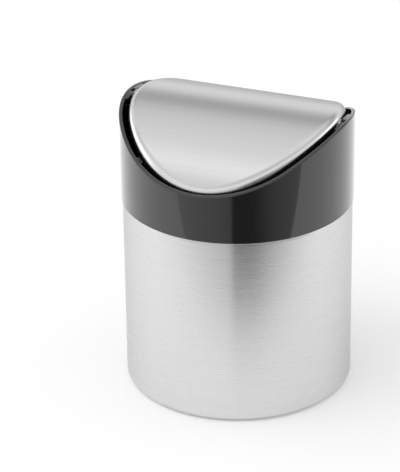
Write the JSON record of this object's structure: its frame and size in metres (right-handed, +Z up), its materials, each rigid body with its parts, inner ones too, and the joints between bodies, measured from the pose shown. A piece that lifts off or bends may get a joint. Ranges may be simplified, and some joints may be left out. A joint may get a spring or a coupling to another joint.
{
  "type": "countertop trash can",
  "caption": "Small round countertop trash can: brushed steel drum, gloss black lift-off collar with a saddle-shaped rim, and an arched steel lid that swings on pins.",
  "frame": {"origin": "middle of the face that the can stands on", "axes": "+Z up, +X along the lid's swing axis, -Y to the front"},
  "size_m": [0.1216, 0.1216, 0.1559],
  "materials": {
    "drum_steel": "fine brushed stainless steel, brushed round the drum",
    "base_steel": "plain pressed stainless steel",
    "soft_ring": "matt black soft ring",
    "collar_plastic": "gloss black moulded plastic",
    "lid_steel": "fine brushed stainless steel, brushed along the swing axis",
    "carrier_plastic": "matt black moulded plastic",
    "pin_steel": "bright turned steel",
    "weight_steel": "zinc-plated flat bar",
    "screw_steel": "zinc-plated"
  },
  "bodies": {
    "drum": {"drum_wall": "drum_steel", "base_pan": "base_steel", "base_ring": "soft_ring"},
    "collar": {"collar": "collar_plastic"},
    "lid": {"lid_cover": "lid_steel", "lid_carrier": "carrier_plastic", "pivot_pin_left": "pin_steel", "pivot_pin_right": "pin_steel", "counterweight": "weight_steel", "counterweight_screws": "screw_steel"}
  },
  "joints": [
    {"name": "collar_lift", "type": "slide", "parent": "drum", "child": "collar", "axis": [0, 0, 1], "range_m": [0, 0.06]},
    {"name": "lid_swing", "type": "hinge", "parent": "collar", "child": "lid", "pos_m": [0, 0, 0.15], "axis": [1, 0, 0], "range_deg": [-80, 80]}
  ]
}
